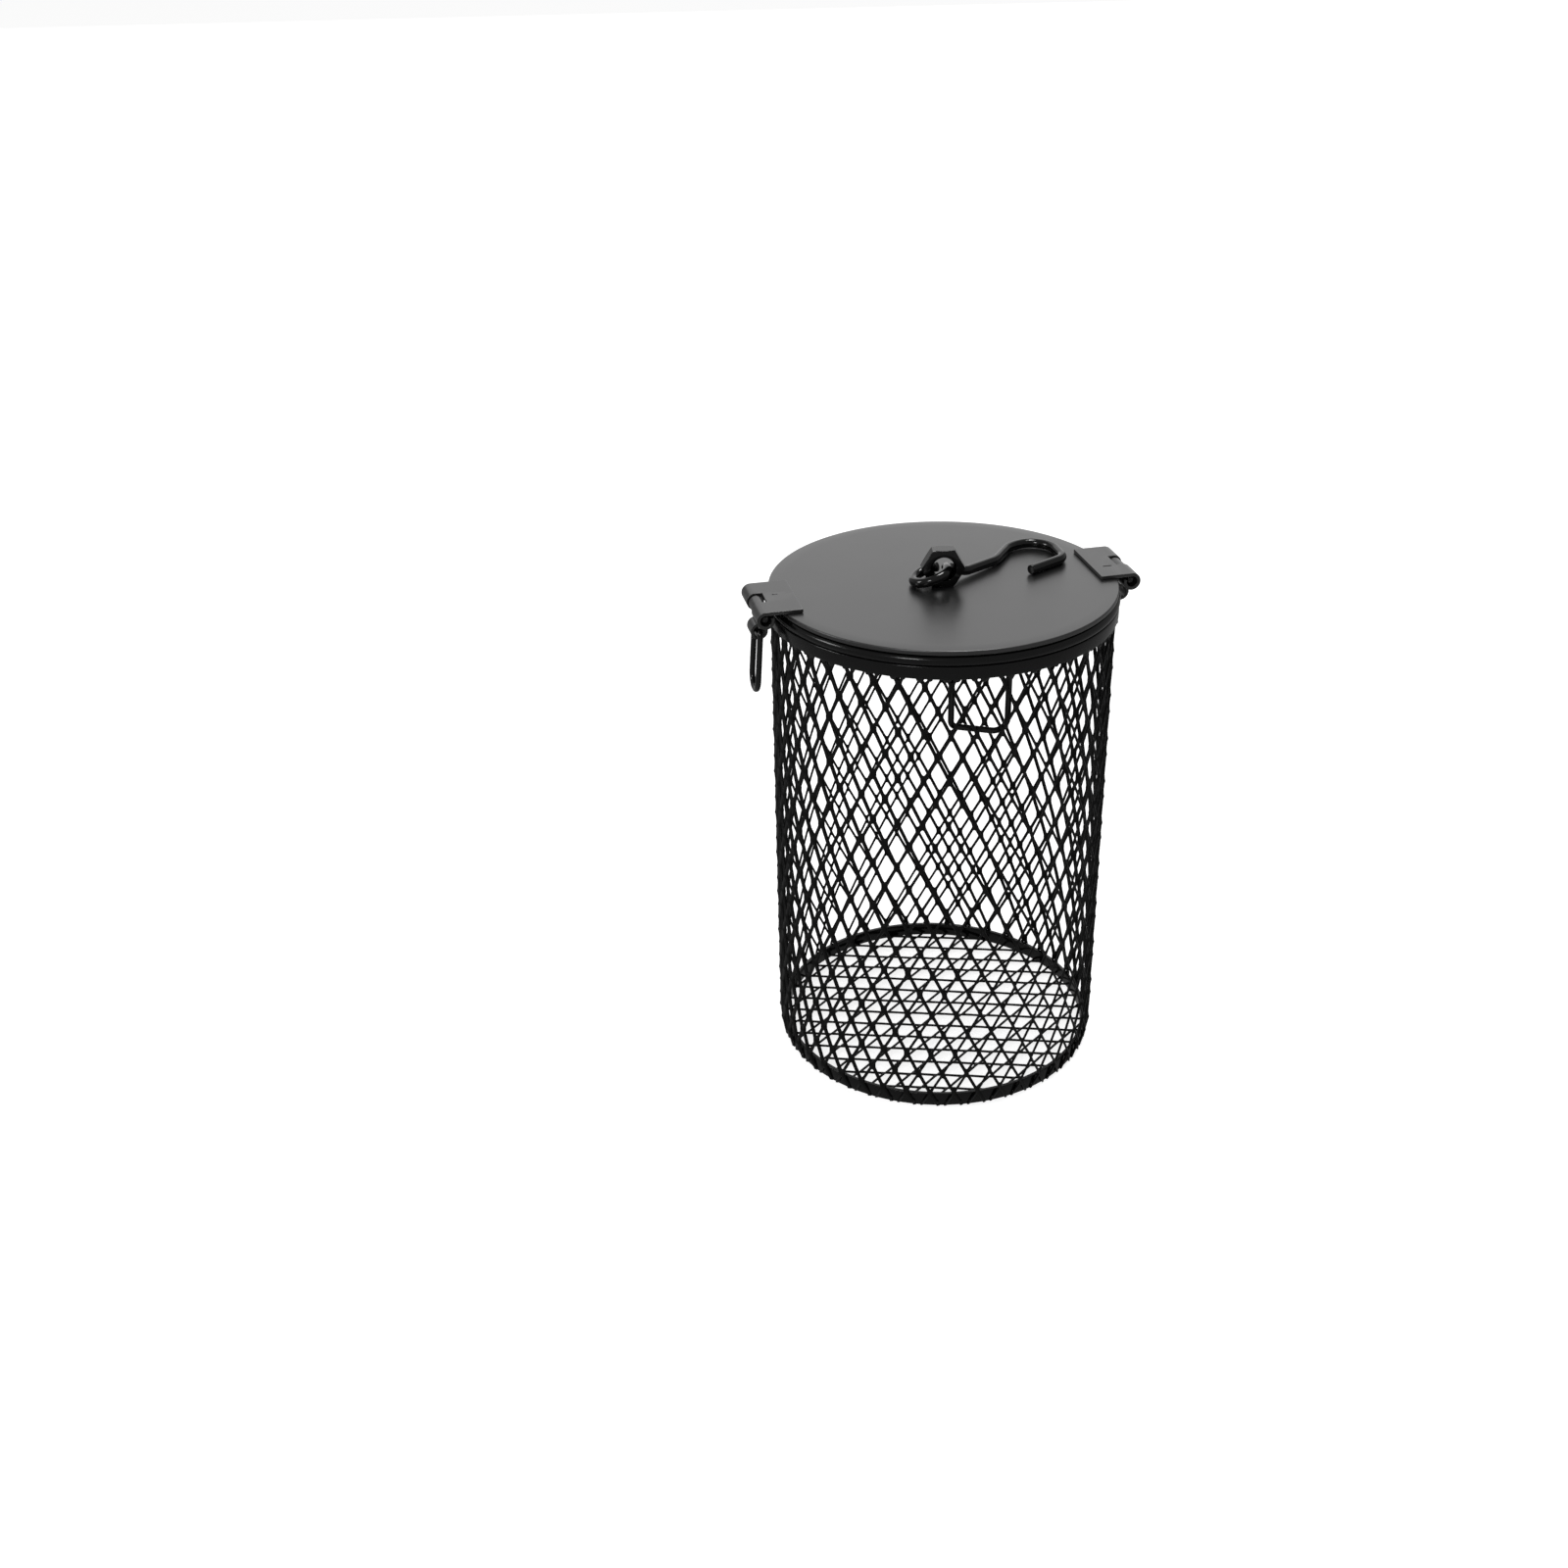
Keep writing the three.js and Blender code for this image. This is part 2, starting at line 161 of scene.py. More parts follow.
class Bench:
    """Makes the nodes of one material."""

    def __init__(self, name: str) -> None:
        """Starts a material with an empty node tree."""
        self.material = bpy.data.materials.new(name)
        self.material.use_nodes = True
        self.tree = self.material.node_tree
        self.tree.nodes.clear()

    def node(
        self,
        kind: str,
        settings: dict[str, object] | None = None,
        inputs: dict[int | str, object] | None = None,
        output: int | str = 0,
    ) -> Value:
        """Adds one node.

        Args:
            kind: The node's type.
            settings: Its properties, set before its sockets.
            inputs: Values or links, by socket name or number.
            output: Which output to hand back.

        Returns:
            That output.
        """
        made = self.tree.nodes.new(kind)
        for name, value in (settings or {}).items():
            setattr(made, name, value)
        for key, value in (inputs or {}).items():
            if isinstance(value, Value):
                self.tree.links.new(value.socket, made.inputs[key])
            else:
                made.inputs[key].default_value = value
        return Value(self, made.outputs[output])

    def close(self, shader: Value) -> bpy.types.Material:
        """Joins the shader to the material's output and hands the material back."""
        output = self.tree.nodes.new("ShaderNodeOutputMaterial")
        self.tree.links.new(shader.socket, output.inputs["Surface"])
        return self.material


Colour = tuple[float, float, float, float]


def grey(level: float, cool: float = 0.02) -> Colour:
    """A near-neutral dark tone.

    Args:
        level: Its linear brightness.
        cool: How much bluer than red it is, as a share.

    Returns:
        Red, green, blue and alpha.
    """
    return (level, level, level * (1 + cool), 1.0)


@dataclass(frozen=True)
class BlackPaint:
    """Black paint on steel: a slow mottle, sharp edges lighter for a thinner coat and as a painted
    highlight, orange peel and a few specks.
    """

    slot: Slot
    # Lighter tone for specks and sharp edges; on the edges it is partly a painted highlight.
    tone: float
    speck_wear_and_highlight_tone: float
    roughness: float
    sheen_spread: float
    specular: float
    coat: float
    coat_roughness: float
    peel_size: float
    peel_height: float
    ripple_height: float
    speck_share: float

    MOTTLE_SIZE = 9.0
    RIPPLE_SIZE = 5.5
    SPECK_SPACING = 7.0
    SPECK_RADIUS = 0.17
    SPECK_RISE = 4
    SPECK_DULLING = 0.2
    MOTTLE_TONE = 0.1
    EDGE_START = 0.54
    EDGE_FULL = 0.66
    EDGE_WANDER = 0.12

    def _noise(self, bench: Bench, place: Value, size: float, detail: float) -> Value:
        """Smooth noise whose lumps are about size millimetres across, from 0 to 1."""
        return bench.node(
            "ShaderNodeTexNoise",
            {},
            {"Vector": place, "Scale": 1 / (size * MM), "Detail": detail, "Roughness": 0.5},
        )

    def _step(self, bench: Bench, value: Value, low: float, high: float) -> Value:
        """Smooth step: 0 below low, 1 above high."""
        settings = {"interpolation_type": "SMOOTHSTEP"}
        return bench.node(
            "ShaderNodeMapRange", settings, {"Value": value, "From Min": low, "From Max": high}
        )

    def material(self) -> bpy.types.Material:
        """Builds the paint.

        Base colour is the tone, a tenth darker to a tenth lighter with the mottle, mixed to a lighter tone
        where the surface is sharply convex, partly for a thinner coat and partly as a painted highlight.
        Specks are small spots round scattered points. Roughness follows the mottle. Height is orange peel
        plus a longer ripple.

        Returns:
            The material.
        """
        bench = Bench(self.slot.value)
        place = bench.node("ShaderNodeTexCoord", output="Object")
        mottle = self._noise(bench, place, self.MOTTLE_SIZE, 4.0)
        peel = self._noise(bench, place, self.peel_size, 2.0)
        ripple = self._noise(bench, place, self.RIPPLE_SIZE, 1.0)
        sharpness = bench.node("ShaderNodeNewGeometry", output="Pointiness")
        wander = (mottle - 0.5) * self.EDGE_WANDER
        # Lighter sharp edges: partly a thinner coat, partly a painted highlight.
        thinner_coat_and_highlight = self._step(bench, sharpness + wander, self.EDGE_START, self.EDGE_FULL)
        distance = bench.node(
            "ShaderNodeTexVoronoi", {}, {"Vector": place, "Scale": 1 / (self.SPECK_SPACING * MM)}
        )
        radius = self.SPECK_RADIUS / self.SPECK_SPACING
        speck = (1 - self._step(bench, distance, radius * 0.6, radius)) * self.speck_share
        shade = bench.node(
            "ShaderNodeMix",
            {"data_type": "RGBA"},
            {
                "Factor": mottle,
                "A": grey(self.tone * (1 - self.MOTTLE_TONE)),
                "B": grey(self.tone * (1 + self.MOTTLE_TONE)),
            },
            "Result",
        )
        for mask in (thinner_coat_and_highlight, speck):
            shade = self._mix_edge(bench, mask, shade)
        roughness = (mottle - 0.5) * self.sheen_spread + self.roughness + speck * self.SPECK_DULLING
        specks = speck * (self.SPECK_RISE * self.peel_height)
        height = peel * self.peel_height + ripple * self.ripple_height + specks
        normal = bench.node("ShaderNodeBump", {}, {"Height": height, "Distance": MM, "Strength": 1.0})
        return bench.close(
            bench.node(
                "ShaderNodeBsdfPrincipled",
                {},
                {
                    "Base Color": shade,
                    "Roughness": roughness,
                    "Specular IOR Level": self.specular,
                    "Coat Weight": self.coat,
                    "Coat Roughness": self.coat_roughness,
                    "Normal": normal,
                },
            )
        )

    def _mix_edge(self, bench: Bench, mask: Value, under: Value) -> Value:
        """Mixes the lighter tone over a colour where the mask is 1: on sharp edges partly a painted
        highlight, on specks the paint's own tone.
        """
        # The lighter tone: the specks' own tone, and on sharp edges a thinner coat plus a painted
        # highlight.
        inputs = {"Factor": mask, "A": under, "B": grey(self.speck_wear_and_highlight_tone)}
        return bench.node("ShaderNodeMix", {"data_type": "RGBA"}, inputs, "Result")


PAINTS = (
    BlackPaint(
        slot=Slot.MESH, tone=0.003, speck_wear_and_highlight_tone=0.012, roughness=0.38, sheen_spread=0.16, specular=0.18,
        coat=0.0, coat_roughness=0.2, peel_size=0.45, peel_height=0.010, ripple_height=0.010,
        speck_share=0.0,
    ),
    BlackPaint(
        slot=Slot.BODY, tone=0.002, speck_wear_and_highlight_tone=0.012, roughness=0.18, sheen_spread=0.08, specular=0.34,
        coat=0.0, coat_roughness=0.2, peel_size=0.55, peel_height=0.006, ripple_height=0.012,
        speck_share=0.2,
    ),
    BlackPaint(
        slot=Slot.LID, tone=0.008, speck_wear_and_highlight_tone=0.03, roughness=0.33, sheen_spread=0.05, specular=0.75,
        coat=0.35, coat_roughness=0.3, peel_size=0.50, peel_height=0.0012, ripple_height=0.002,
        speck_share=0.35,
    ),
    BlackPaint(
        slot=Slot.FITTING, tone=0.008, speck_wear_and_highlight_tone=0.03, roughness=0.30, sheen_spread=0.10, specular=0.65,
        coat=0.30, coat_roughness=0.3, peel_size=0.50, peel_height=0.003, ripple_height=0.006,
        speck_share=0.3,
    ),
    BlackPaint(
        slot=Slot.WIRE, tone=0.002, speck_wear_and_highlight_tone=0.02, roughness=0.16, sheen_spread=0.06, specular=0.35,
        coat=0.25, coat_roughness=0.08, peel_size=0.45, peel_height=0.003, ripple_height=0.008,
        speck_share=0.2,
    ),
)


# ---------------------------------------------------------------- surfaces


@dataclass
class Surface:
    """Points in millimetres, (n, 3), and faces as lists of point numbers."""

    points: np.ndarray
    faces: list[list[int]]


def grid_faces(rows: int, columns: int, wrap_rows: bool, wrap_columns: bool) -> np.ndarray:
    """Quads between neighbouring points of a grid.

    Args:
        rows: Points in the first direction.
        columns: Points in the second direction.
        wrap_rows: Whether the last row joins the first.
        wrap_columns: Whether the last column joins the first.

    Returns:
        An (n, 4) array of point numbers.
    """
    row, column = np.meshgrid(
        np.arange(rows if wrap_rows else rows - 1),
        np.arange(columns if wrap_columns else columns - 1),
        indexing="ij",
    )
    after, beside = (row + 1) % rows, (column + 1) % columns
    here, there = row * columns, after * columns
    return np.stack([here + column, here + beside, there + beside, there + column], -1).reshape(-1, 4)


def grid_surface(points: np.ndarray, wrap_rows: bool, wrap_columns: bool) -> Surface:
    """A surface through an array of points.

    Args:
        points: (rows, columns, 3) in millimetres.
        wrap_rows: Whether the last row joins the first.
        wrap_columns: Whether the last column joins the first.

    Returns:
        The surface.
    """
    faces = grid_faces(points.shape[0], points.shape[1], wrap_rows, wrap_columns)
    return Surface(points.reshape(-1, 3), faces.tolist())


def turned(section: np.ndarray, steps: int, closed: bool = True) -> Surface:
    """A section turned about the upright axis.

    Formula: the point (r, z) goes to (r cos a, r sin a, z) for evenly spaced angles a.

    Args:
        section: (n, 2) radii and heights.
        steps: Points round the axis.
        closed: Whether the section's last point joins its first.

    Returns:
        The surface.
    """
    angle = np.linspace(0, 2 * np.pi, steps, endpoint=False)[:, None]
    radius, height = section[:, 0][None], section[:, 1][None]
    points = np.stack(np.broadcast_arrays(radius * np.cos(angle), radius * np.sin(angle), height), -1)
    return grid_surface(points, True, closed)


def arc(centre: Sequence[float], radius: float, start: float, end: float, steps: int) -> np.ndarray:
    """Points on an arc.

    Args:
        centre: Its centre, two numbers.
        radius: Its radius.
        start: First angle in degrees.
        end: Last angle in degrees.
        steps: How many points.

    Returns:
        An (n, 2) array.
    """
    angle = np.radians(np.linspace(start, end, steps))
    return np.array(centre) + radius * np.stack([np.cos(angle), np.sin(angle)], -1)


def rounded_box(inner: float, outer: float, bottom: float, top: float, fillet: float) -> np.ndarray:
    """A rectangle in radius and height with its four corners rounded by arcs of the fillet's radius."""
    corners = [
        ((inner + fillet, bottom + fillet), 180),
        ((outer - fillet, bottom + fillet), 270),
        ((outer - fillet, top - fillet), 0),
        ((inner + fillet, top - fillet), 90),
    ]
    return np.vstack([arc(centre, fillet, start, start + 90, 5) for centre, start in corners])


def bent_path(corners: Sequence[Sequence[float]], bends: Sequence[float]) -> np.ndarray:
    """A wire's centre line: straight runs joined by bends.

    Formula: a bend of radius r at a corner of turn a starts r tan(a / 2) before the corner and ends
    as far after it, and is a cubic curve whose handles reach 0.55 of the way to the corner.

    Args:
        corners: (n, 3) points, the first and last being the wire's ends.
        bends: The bend's radius at each of the n - 2 corners between them.

    Returns:
        An (m, 3) array of points.
    """
    place = np.array(corners, float)
    before = place[:-2] - place[1:-1]
    after = place[2:] - place[1:-1]
    before /= np.linalg.norm(before, axis=1, keepdims=True)
    after /= np.linalg.norm(after, axis=1, keepdims=True)
    turn = np.pi - np.arccos(np.clip((before * after).sum(1), -1, 1))
    reach = (np.array(bends) * np.tan(turn / 2))[:, None]
    enter, leave = place[1:-1] + before * reach, place[1:-1] + after * reach
    pull_in, pull_out = enter + 0.55 * (place[1:-1] - enter), leave + 0.55 * (place[1:-1] - leave)
    t = np.linspace(0, 1, 16)[None, :, None]
    curve = (
        (1 - t) ** 3 * enter[:, None]
        + 3 * t * (1 - t) ** 2 * pull_in[:, None]
        + 3 * t**2 * (1 - t) * pull_out[:, None]
        + t**3 * leave[:, None]
    )
    return np.vstack([place[:1], curve.reshape(-1, 3), place[-1:]])


def evenly(path: np.ndarray, spacing: float) -> np.ndarray:
    """The same line with its points evenly spaced, about spacing apart."""
    steps = np.linalg.norm(np.diff(path, axis=0), axis=1)
    path = path[np.concatenate([[True], steps > 1e-6])]
    along = np.concatenate([[0], np.cumsum(np.linalg.norm(np.diff(path, axis=0), axis=1))])
    wanted = np.linspace(0, along[-1], max(int(along[-1] / spacing), 2) + 1)
    return np.stack([np.interp(wanted, along, path[:, axis]) for axis in range(3)], -1)


def wire(path: np.ndarray, radius: float, across: Sequence[float], sides: int, tip: float) -> Surface:
    """A round wire along a line, with cut ends whose edge is rounded.

    Formula: at each point of the line a circle stands square to it. At both ends the circle moves
    tip sin(a) further out and shrinks by tip (1 - cos(a)) for a up to 90 degrees, then closes flat.

    Args:
        path: (n, 3) points of the centre line.
        radius: The wire's radius.
        across: A direction that the line never runs along, from which the circles are turned.
        sides: Points round each circle.
        tip: Radius of the rounding at the cut ends.

    Returns:
        The closed surface.
    """
    along = np.gradient(path, axis=0)
    along /= np.linalg.norm(along, axis=1, keepdims=True)
    bend = np.radians([90, 68, 45, 22])
    out, shrink = tip * np.sin(bend), tip * (1 - np.cos(bend))
    centres = np.vstack(
        [path[:1] - out[:, None] * along[:1], path, path[-1:] + out[::-1, None] * along[-1:]]
    )
    along = np.vstack([np.repeat(along[:1], 4, 0), along, np.repeat(along[-1:], 4, 0)])
    radii = np.concatenate([radius - shrink, np.full(len(path), radius), radius - shrink[::-1]])
    centres = np.vstack([centres[:1], centres, centres[-1:]])
    along = np.vstack([along[:1], along, along[-1:]])
    radii = np.concatenate([[0], radii, [0]])
    side = np.cross(along, np.array(across, float))
    side /= np.linalg.norm(side, axis=1, keepdims=True)
    up = np.cross(side, along)
    angle = np.linspace(0, 2 * np.pi, sides, endpoint=False)[None, :, None]
    ring = np.cos(angle) * side[:, None] + np.sin(angle) * up[:, None]
    return grid_surface(centres[:, None] + radii[:, None, None] * ring, False, True)


def bent_sheet(middle: np.ndarray, across: np.ndarray, kept: np.ndarray, thickness: float) -> Surface:
    """A flat blank of sheet, cut to an outline and bent along a line in XZ.

    Formula: the blank's two faces stand half its thickness off the middle line, along the line's
    normal; a wall closes each edge between a kept cell and a cut one.

    Args:
        middle: (n, 2) x and z of the sheet's middle line.
        across: (m,) positions along Y.
        kept: (n - 1, m - 1) which cells of the blank are metal.
        thickness: The sheet's thickness.

    Returns:
        The closed surface.
    """
    run = np.gradient(middle, axis=0)
    run /= np.linalg.norm(run, axis=1, keepdims=True)
    normal = np.stack([-run[:, 1], run[:, 0]], -1) * thickness / 2
    rows, columns = len(middle), len(across)
    faces = np.stack([middle + normal, middle - normal])
    points = np.empty((2, rows, columns, 3))
    points[..., 0] = faces[:, :, None, 0]
    points[..., 1] = across[None, None]
    points[..., 2] = faces[:, :, None, 1]
    cells = grid_faces(rows, columns, False, False).reshape(rows - 1, columns - 1, 4)
    under = rows * columns
    quads = [cells[kept], cells[kept][:, ::-1] + under]
    open_round = np.pad(~kept, 1, constant_values=True)
    neighbours = [
        (open_round[:-2, 1:-1], 0, 1),
        (open_round[1:-1, 2:], 1, 2),
        (open_round[2:, 1:-1], 2, 3),
        (open_round[1:-1, :-2], 3, 0),
    ]
    for beyond, first, second in neighbours:
        edge = cells[kept & beyond]
        quads.append(
            np.stack([edge[:, first], edge[:, second], edge[:, second] + under, edge[:, first] + under], -1)
        )
    return Surface(points.reshape(-1, 3), np.vstack(quads).tolist())


@dataclass(frozen=True)
class Cut:
    """A plane that trims a mesh: what lies on its outer side goes, and the cut is closed."""

    point: Sequence[float]
    outward: Sequence[float]


def make_piece(
    name: str, surface: Surface, sharp_degrees: float, cuts: Sequence[Cut] = ()
) -> bpy.types.Object:
    """Makes a mesh object at the origin, in metres.

    Args:
        name: The piece's name.
        surface: Its points and faces.
        sharp_degrees: Edges that turn by more than this stay sharp in the shading.
        cuts: Planes that trim it.

    Returns:
        The object.
    """
    mesh = bpy.data.meshes.new(name)
    mesh.from_pydata((surface.points * MM).tolist(), [], surface.faces)
    work = bmesh.new()
    work.from_mesh(mesh)
    bmesh.ops.remove_doubles(work, verts=work.verts, dist=MERGE * MM)
    for cut in cuts:
        parts = [*work.verts, *work.edges, *work.faces]
        made = bmesh.ops.bisect_plane(
            work,
            geom=parts,
            dist=1e-8,
            plane_co=Vector(cut.point) * MM,
            plane_no=Vector(cut.outward),
            clear_outer=True,
        )
        rim = [part for part in made["geom_cut"] if isinstance(part, bmesh.types.BMEdge)]
        bmesh.ops.holes_fill(work, edges=[edge for edge in rim if edge.is_boundary], sides=0)
    loose = [vertex for vertex in work.verts if not vertex.link_faces]
    bmesh.ops.delete(work, geom=loose, context="VERTS")
    bmesh.ops.recalc_face_normals(work, faces=work.faces)
    work.to_mesh(mesh)
    work.free()
    mesh.shade_smooth()
    mesh.set_sharp_from_angle(angle=math.radians(sharp_degrees))
    piece = bpy.data.objects.new(name, mesh)
    bpy.context.scene.collection.objects.link(piece)
    return piece


def soften(piece: bpy.types.Object, width: float) -> None:
    """Rounds a piece's sharp edges.

    Args:
        piece: The piece.
        width: The rounding's width in millimetres.
    """
    bevel = piece.modifiers.new("edge_rounding", "BEVEL")
    bevel.width = width * MM
    bevel.segments = 3
    bevel.limit_method = "ANGLE"
    bevel.angle_limit = math.radians(50)
    bevel.harden_normals = True


class Workshop:
    """Dresses pieces and puts them on their bodies."""

    def __init__(self) -> None:
        """Makes one material for each of the record's slots."""
        self.paints = {paint.slot: paint.material() for paint in PAINTS}

    def fit(self, piece: bpy.types.Object, body: Body, slot: Slot, *nodes: str) -> None:
        """Paints a piece, rides it on a body and lets it stand for frame nodes.

        Args:
            piece: The piece, in place.
            body: The body that it moves with.
            slot: The record's slot that it takes its paint from.
            nodes: The frame nodes that it stands for.
        """
        piece.data.materials.append(self.paints[slot])
        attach(piece, body.value)
        if nodes:
            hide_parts(*nodes)
        log.info("%s: %d faces on %s", piece.name, len(piece.data.polygons), body.value)


# ---------------------------------------------------------------- expanded metal


@dataclass(frozen=True)
class DiamondMesh:
    """Expanded metal: a lattice of diamond holes whose strands are ribbons leaning to one side.

    Each cell is one hole with half of every strand round it, and meets its four neighbours on the
    strands' middle lines.
    """

    short: float
    long: float
    strand: float = 0.64
    half_thick: float = 0.27
    lean: float = 0.85
    corner: float = 0.13
    round_off: float = 0.6
    shoulder: float = 0.72
    shoulder_thick: float = 0.85

    def cell(self) -> np.ndarray:
        """Points of one cell.

        Formula: in skew axes along the strands the cell is a square from -1/2 to 1/2, and the hole a
        smaller square with its corners drawn in. A point a share s of the way from the middle line
        to the hole's edge has the ribbon's half thickness there, and its height falls by the lean
        times its sideways distance from the middle line.

        Returns:
            An (outline, across, 3) array: short way, long way, height.
        """
        a, b = self.short / 2, self.long / 2
        spacing = 2 * a * b / math.hypot(a, b)
        hole = 0.5 - self.strand / 2 / spacing
        corners = np.array([[1, 1], [1, -1], [-1, -1], [-1, 1]], float)
        following = np.roll(corners, -1, axis=0)
        share = np.array([0, self.corner, 1 - self.corner])[None, :, None]
        outline = (corners[:, None] * (1 - share) + following[:, None] * share).reshape(-1, 2)
        draw_in = np.tile([1 - self.round_off * self.corner, 1, 1], 4)[:, None]
        to_plane = np.array([[a, b], [a, -b]])
        middle, edge = 0.5 * outline @ to_plane, hole * draw_in * outline @ to_plane
        out, lower = self.shoulder, self.shoulder_thick
        across = np.array([0, out, 1, out, 0])[None, :, None]
        thick = np.array([1, lower, 0, -lower, -1])[None] * self.half_thick
        flat = middle[:, None] * (1 - across) + edge[:, None] * across
        height = thick - self.lean * (flat[..., 0] - middle[:, None, 0])
        return np.concatenate([flat, height[..., None]], -1)

    def cells(self, centres: np.ndarray) -> Surface:
        """One cell at each centre.

        Args:
            centres: (n, 2) places, short way and long way.

        Returns:
            The surface, as (short way, long way, height) points.
        """
        cell = self.cell()
        outline, across = cell.shape[:2]
        shift = np.concatenate([centres, np.zeros((len(centres), 1))], 1)
        points = (cell[None] + shift[:, None, None]).reshape(-1, 3)
        faces = grid_faces(outline, across, True, False)
        offsets = np.arange(len(centres))[:, None, None] * (outline * across)
        return Surface(points, (faces[None] + offsets).reshape(-1, 4).tolist())

    def lattice(self, rows: range, columns: range) -> np.ndarray:
        """Centres of the holes: every second row is shifted by half a short diagonal."""
        row, column = np.meshgrid(np.array(rows), np.array(columns), indexing="ij")
        short = (column + (row % 2) / 2) * self.short
        return np.stack([short, row * self.long / 2], -1).reshape(-1, 2)


@dataclass
class Basket:
    """The fixed cage: mesh wall and floor, foot ring, collar, rim bead, bait loop and welds."""

    wall_middle: float = 34.3
    wall_columns: int = 43
    row_height: float = 9.87
    first_hole_turn: float = -11.27
    first_hole_level: float = 3.55
    foot_tuck: float = 0.45
    foot_tuck_height: float = 2.6
    floor_short: float = 5.1
    floor_long: float = 9.95
    floor_turn: float = 10.0
    floor_level: float = 0.62
    floor_shift: float = 1.1
    floor_margin: float = 0.4
    wall_foot: float = 0.1
    wall_lap: float = 0.15
    collar_weld: tuple[float, float, float] = (0.1, 34.75, 1.0)
    foot_weld: tuple[float, float, float] = (0.9, 33.9, 0.7)
    weld_radius: float = 0.62
    weld_shape: tuple[float, float, float] = (0.6, 1.0, 0.8)
    weld_lumps: tuple[tuple[float, float], ...] = ((0.22, 37.0), (0.15, 91.0))
    foot_round: float = 0.15
    collar_round: float = 0.25
    ring_sheet: float = 0.9
    collar_lap: float = 0.35
    rim_wire: float = 1.05
    loop_wire: float = 0.6
    loop_half: float = 5.5
    loop_depth: float = 32.5
    loop_turn: float = -3.7
    loop_slope: float = 2.3
    loop_bends: tuple[float, float] = (1.3, 2.6)

    def build(self, shop: Workshop) -> None:
        """Makes the cage's pieces.

        Args:
            shop: Where they are painted.
        """
        self._wall(shop)
        self._floor(shop)
        self._rings(shop)
        self._bait_loop(shop)
        self._welds(shop)

    def _wall(self, shop: Workshop) -> None:
        """Rolls the flat lattice to a tube: the short way becomes angle and the height radius.

        Near the foot the radius shrinks with the square of the depth below the tuck.
        """
        pitch = 2 * math.pi * self.wall_middle / self.wall_columns
        mesh = DiamondMesh(pitch, self.row_height)
        rows = range(-2, 2 + int(2 * node_box("mesh_wall")[1][2] / self.row_height))
        flat = mesh.cells(mesh.lattice(rows, range(self.wall_columns)))
        turn = np.radians(self.first_hole_turn) + flat.points[:, 0] / self.wall_middle
        level = flat.points[:, 1] + self.first_hole_level
        depth = np.clip(1 - level / self.foot_tuck_height, 0, 1.2)
        radius = self.wall_middle + flat.points[:, 2] - self.foot_tuck * depth**2
        points = np.stack([radius * np.cos(turn), radius * np.sin(turn), level], -1)
        top = node_box("collar_band")[0][2] + self.wall_lap
        cuts = [Cut((0, 0, top), (0, 0, 1)), Cut((0, 0, self.wall_foot), (0, 0, -1))]
        piece = make_piece("wall_mesh", Surface(points, flat.faces), 75, cuts)
        shop.fit(piece, Body.CAGE, Slot.MESH, "mesh_wall")

    def _floor(self, shop: Workshop) -> None:
        """Lays the lattice flat, turned about the axis, and trims it to a circle inside the ring."""
        mesh = DiamondMesh(self.floor_short, self.floor_long)
        ring = node_box("bottom_ring")[1][0] - self.floor_margin
        reach = int(ring / self.floor_short) + 2
        flat = mesh.cells(mesh.lattice(range(-reach, reach), range(-reach, reach)))
        along = math.radians(self.floor_turn)
        long_way, short_way = flat.points[:, 1], flat.points[:, 0] + self.floor_shift
        points = np.stack(
            [
                long_way * math.cos(along) - short_way * math.sin(along),
                long_way * math.sin(along) + short_way * math.cos(along),
                flat.points[:, 2] + self.floor_level,
            ],
            -1,
        )
        sides = 48
        turns = np.arange(sides) * 2 * np.pi / sides
        cuts = [Cut((ring * c, ring * s, 0), (c, s, 0)) for c, s in zip(np.cos(turns), np.sin(turns))]
        piece = make_piece("floor_mesh", Surface(points, flat.faces), 75, cuts)
        shop.fit(piece, Body.CAGE, Slot.MESH, "bottom_mesh")

    def _rings(self, shop: Workshop) -> None:
        """Turns the foot ring, the collar and the rim's round wire."""
        rings = (
            ("foot_ring", "bottom_ring", self.foot_round, 0.0),
            ("collar", "collar_band", self.collar_round, self.collar_lap),
        )
        for name, node, fillet, lap in rings:
            low, high = node_box(node)
            section = rounded_box(high[0] - self.ring_sheet, high[0], low[2], high[2] + lap, fillet)
            piece = make_piece(name, turned(section, 192), 80)
            shop.fit(piece, Body.CAGE, Slot.BODY, node)
        low, high = node_box("rim_bead")
        middle = (high[0] - self.rim_wire, (low[2] + high[2]) / 2)
        piece = make_piece("rim_wire", turned(arc(middle, self.rim_wire, 0, 345, 24), 192), 80)
        shop.fit(piece, Body.CAGE, Slot.BODY, "rim_bead")

    def _bait_loop(self, shop: Workshop) -> None:
        """Bends the wire U that hangs inside the wall, then turns it about the cage's axis."""
        low, high = node_box("bait_loop")
        half, depth = self.loop_half, self.loop_depth
        top, bottom = high[2], low[2] + self.loop_wire
        corners = [
            (-half, -depth, top),
            (-half, -depth, bottom + self.loop_slope),
            (half, -depth, bottom),
            (half, -depth, top),
        ]
        turn = math.radians(self.loop_turn)
        cos, sin = math.cos(turn), math.sin(turn)
        spin = np.array([[cos, sin, 0], [-sin, cos, 0], [0, 0, 1]])
        path = evenly(bent_path(corners, self.loop_bends), 0.3) @ spin
        surface = wire(path, self.loop_wire, (0, 1, 0), sides=18, tip=0.15)
        shop.fit(make_piece("bait_wire", surface, 60), Body.CAGE, Slot.WIRE, "bait_loop")

